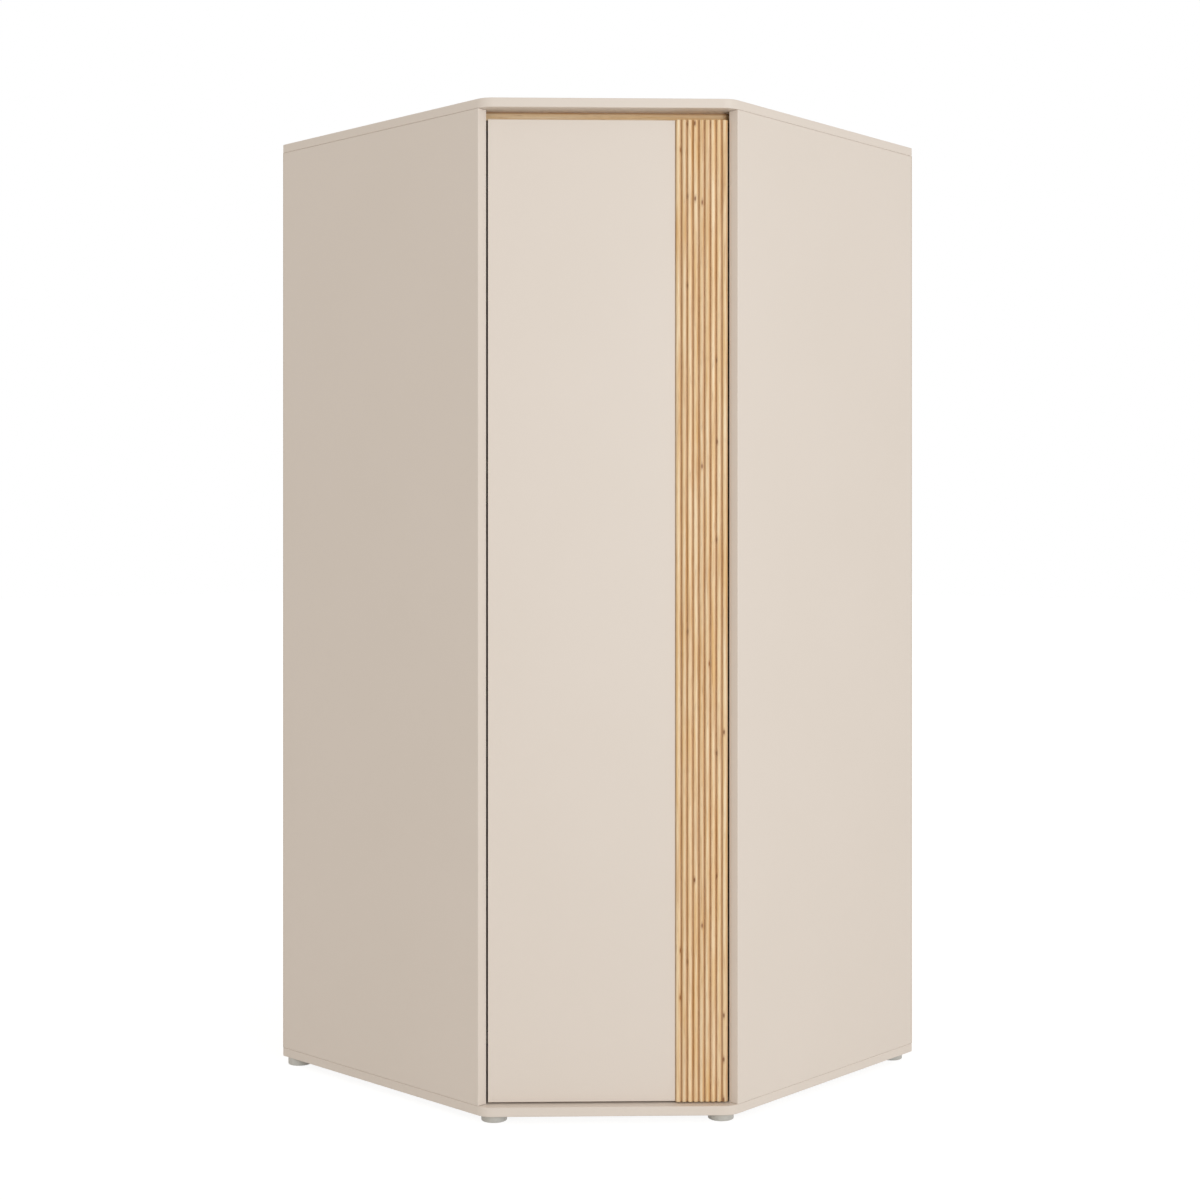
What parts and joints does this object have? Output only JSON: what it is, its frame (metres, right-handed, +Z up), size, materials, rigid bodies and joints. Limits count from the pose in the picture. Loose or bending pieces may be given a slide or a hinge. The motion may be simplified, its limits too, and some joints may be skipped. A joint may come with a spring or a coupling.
{
  "type": "corner wardrobe",
  "caption": "Tall five-sided wardrobe for a room corner with an inset diagonal door, an upright slatted strip, a shelf bay, a hanging rail and disc feet.",
  "frame": {"origin": "middle of the square that holds the plan, on the floor under the feet", "axes": "+Z up; the walls of the room are at -X and +Y; the door faces the diagonal between +X and -Y"},
  "size_m": [0.956, 0.956, 1.965],
  "materials": {
    "beige_board": "satin warm beige laminate on particle board",
    "back_fibreboard": "smooth painted fibreboard",
    "oak_finish": "matt light oak foil",
    "beech": "raw beech",
    "nickel_steel": "black nickel plated",
    "zinc_steel": "zinc plated",
    "chromed_tube": "polished chrome",
    "grey_plastic": "matt silver grey",
    "white_plastic": "matt white"
  },
  "bodies": {
    "carcass": {"back_left": "back_fibreboard", "back_right": "back_fibreboard", "bottom_panel": "beige_board", "cam_bolts": "zinc_steel", "cam_locks": "zinc_steel", "carcass_screws": "zinc_steel", "dowels": "beech", "foot_front_left": "grey_plastic", "foot_front_right": "grey_plastic", "foot_rear_corner": "grey_plastic", "foot_rear_left": "grey_plastic", "foot_rear_right": "grey_plastic", "hanging_rail": "chromed_tube", "hat_shelf": "beige_board", "hinge_arm_1": "nickel_steel", "hinge_arm_2": "nickel_steel", "hinge_arm_3": "nickel_steel", "hinge_arm_4": "nickel_steel", "hinge_base_1": "nickel_steel", "hinge_base_2": "nickel_steel", "hinge_base_3": "nickel_steel", "hinge_base_4": "nickel_steel", "hinge_base_screws": "zinc_steel", "hinge_pins": "zinc_steel", "latch_housing": "grey_plastic", "partition": "beige_board", "rail_bracket": "chromed_tube", "rail_socket": "chromed_tube", "rear_corner_panel": "beige_board", "shelf_1": "beige_board", "shelf_2": "beige_board", "shelf_3": "beige_board", "shelf_pins": "zinc_steel", "side_left": "beige_board", "side_right": "beige_board", "top_panel": "beige_board", "top_rail": "oak_finish"},
    "door": {"door_panel": "beige_board", "slat_carrier": "oak_finish", "slat_1": "oak_finish", "slat_2": "oak_finish", "slat_3": "oak_finish", "slat_4": "oak_finish", "slat_5": "oak_finish", "slat_6": "oak_finish", "slat_7": "oak_finish", "slat_8": "oak_finish", "slat_9": "oak_finish", "hinge_cup_1": "nickel_steel", "hinge_cup_2": "nickel_steel", "hinge_cup_3": "nickel_steel", "hinge_cup_4": "nickel_steel", "door_screws": "zinc_steel", "joining_plates": "nickel_steel", "strike_plate": "nickel_steel"},
    "plunger": {"latch_plunger": "white_plastic"}
  },
  "joints": [
    {"name": "door_swing", "type": "hinge", "parent": "carcass", "child": "door", "pos_m": [0.12879, -0.42471, 0.983], "axis": [0, 0, -1], "range_deg": [0, 95]},
    {"name": "latch_press", "type": "slide", "parent": "carcass", "child": "plunger", "axis": [-0.7071, 0.7071, 0], "range_m": [0, 0.0025], "stiffness_N_per_m": 400, "springref_m": -0.003}
  ]
}
